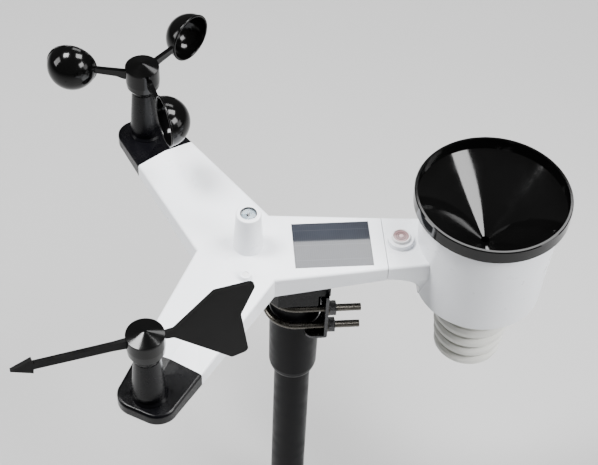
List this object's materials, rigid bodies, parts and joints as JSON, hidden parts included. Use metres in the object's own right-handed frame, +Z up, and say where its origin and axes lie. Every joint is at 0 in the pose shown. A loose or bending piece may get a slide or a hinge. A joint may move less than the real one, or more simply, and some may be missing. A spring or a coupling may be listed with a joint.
{
  "type": "home weather station",
  "caption": "Y-shaped outdoor weather station on a mast, with wind cups, wind vane, rain gauge, louvred climate sensor, solar panel and level.",
  "frame": {"origin": "centre of the mast's foot, on the mast's axis", "axes": "+Z up along the mast, +X from the mast towards the rain gauge"},
  "size_m": [0.3985, 0.3361, 0.4449],
  "materials": {
    "white_plastic": "fine satin moulded plastic",
    "black_plastic": "satin moulded plastic",
    "rotor_plastic": "semi gloss moulded plastic",
    "vane_plastic": "semi gloss moulded plastic",
    "funnel_plastic": "high gloss moulded plastic",
    "mast_coating": "satin black powder coat on tube",
    "zinc_steel": "zinc plated steel",
    "fastener_steel": "plain stainless steel",
    "magnet": "sintered magnet",
    "solar_cells": "dark silicon cells in strips",
    "solar_cover": "clear glossy sheet",
    "window_glass": "clear window",
    "lamp_lens": "frosted lens",
    "level_vial": "clear cup with tinted fluid",
    "circuit_board": "green circuit board",
    "filter_cap": "porous cap",
    "cell_wrap": "plain wrapped cells",
    "contact_metal": "plated spring metal",
    "bucket_plastic": "grey moulded plastic",
    "button_rubber": "soft button"
  },
  "bodies": {
    "station": {"top_cover": "white_plastic", "chassis": "black_plastic", "status_lamp_boss": "white_plastic", "status_lamp_lens": "lamp_lens", "light_sensor_post": "white_plastic", "light_window": "window_glass", "light_sensor_board": "circuit_board", "solar_cells": "solar_cells", "solar_cover": "solar_cover", "anemometer_base": "black_plastic", "vane_base": "black_plastic", "rotor_bearings": "fastener_steel", "rotor_sensor_board": "circuit_board", "vane_bearings": "fastener_steel", "vane_sensor_board": "circuit_board", "rain_gauge_body": "white_plastic", "bucket_cradle": "bucket_plastic", "rain_sensor_board": "circuit_board", "level_vial": "level_vial", "shield_plate_1": "white_plastic", "shield_plate_2": "white_plastic", "shield_plate_3": "white_plastic", "shield_plate_4": "white_plastic", "shield_plate_5": "white_plastic", "shield_base": "white_plastic", "shield_bolts": "fastener_steel", "climate_board": "circuit_board", "climate_sensor_cap": "filter_cap", "lower_housing": "black_plastic", "mast_collar": "black_plastic", "mast_tube": "mast_coating", "clamp_plate": "zinc_steel", "u_bolt_upper": "zinc_steel", "u_bolt_lower": "zinc_steel", "clamp_nuts": "zinc_steel", "clamp_washers": "zinc_steel", "batteries": "cell_wrap", "battery_contacts": "contact_metal", "main_circuit_board": "circuit_board", "radio_antenna": "contact_metal", "body_screws": "fastener_steel"},
    "rotor": {"rotor_hub": "rotor_plastic", "wind_cup_1": "rotor_plastic", "wind_cup_2": "rotor_plastic", "wind_cup_3": "rotor_plastic", "rotor_shaft": "fastener_steel", "rotor_magnet": "magnet"},
    "vane": {"vane_hub": "vane_plastic", "vane_pointer": "vane_plastic", "vane_tail": "vane_plastic", "vane_shaft": "fastener_steel", "vane_magnet": "magnet"},
    "funnel": {"funnel": "funnel_plastic"},
    "bucket": {"tipping_bucket": "bucket_plastic", "bucket_axle": "fastener_steel", "bucket_magnet": "magnet"},
    "battery_door": {"battery_door": "black_plastic"},
    "reset_button": {"reset_button": "button_rubber"}
  },
  "joints": [
    {"name": "rotor_spin", "type": "hinge", "parent": "station", "child": "rotor", "pos_m": [-0.11145, 0.12722, 0.4], "axis": [0, 0, 1], "continuous": true},
    {"name": "vane_turn", "type": "hinge", "parent": "station", "child": "vane", "pos_m": [-0.11145, -0.12722, 0.4], "axis": [0, 0, 1], "continuous": true},
    {"name": "bucket_tip", "type": "hinge", "parent": "station", "child": "bucket", "pos_m": [0.1422, 0, 0.316], "axis": [0, 1, 0], "range_deg": [-16, 16]},
    {"name": "funnel_lift", "type": "slide", "parent": "station", "child": "funnel", "axis": [0, 0, 1], "range_m": [0, 0.06]},
    {"name": "battery_door_slide", "type": "slide", "parent": "station", "child": "battery_door", "axis": [-0.5, -0.866, 0], "range_m": [0, 0.06]},
    {"name": "reset_button_press", "type": "slide", "parent": "station", "child": "reset_button", "axis": [0, 0, 1], "range_m": [0, 0.0012], "stiffness_N_per_m": 300}
  ]
}
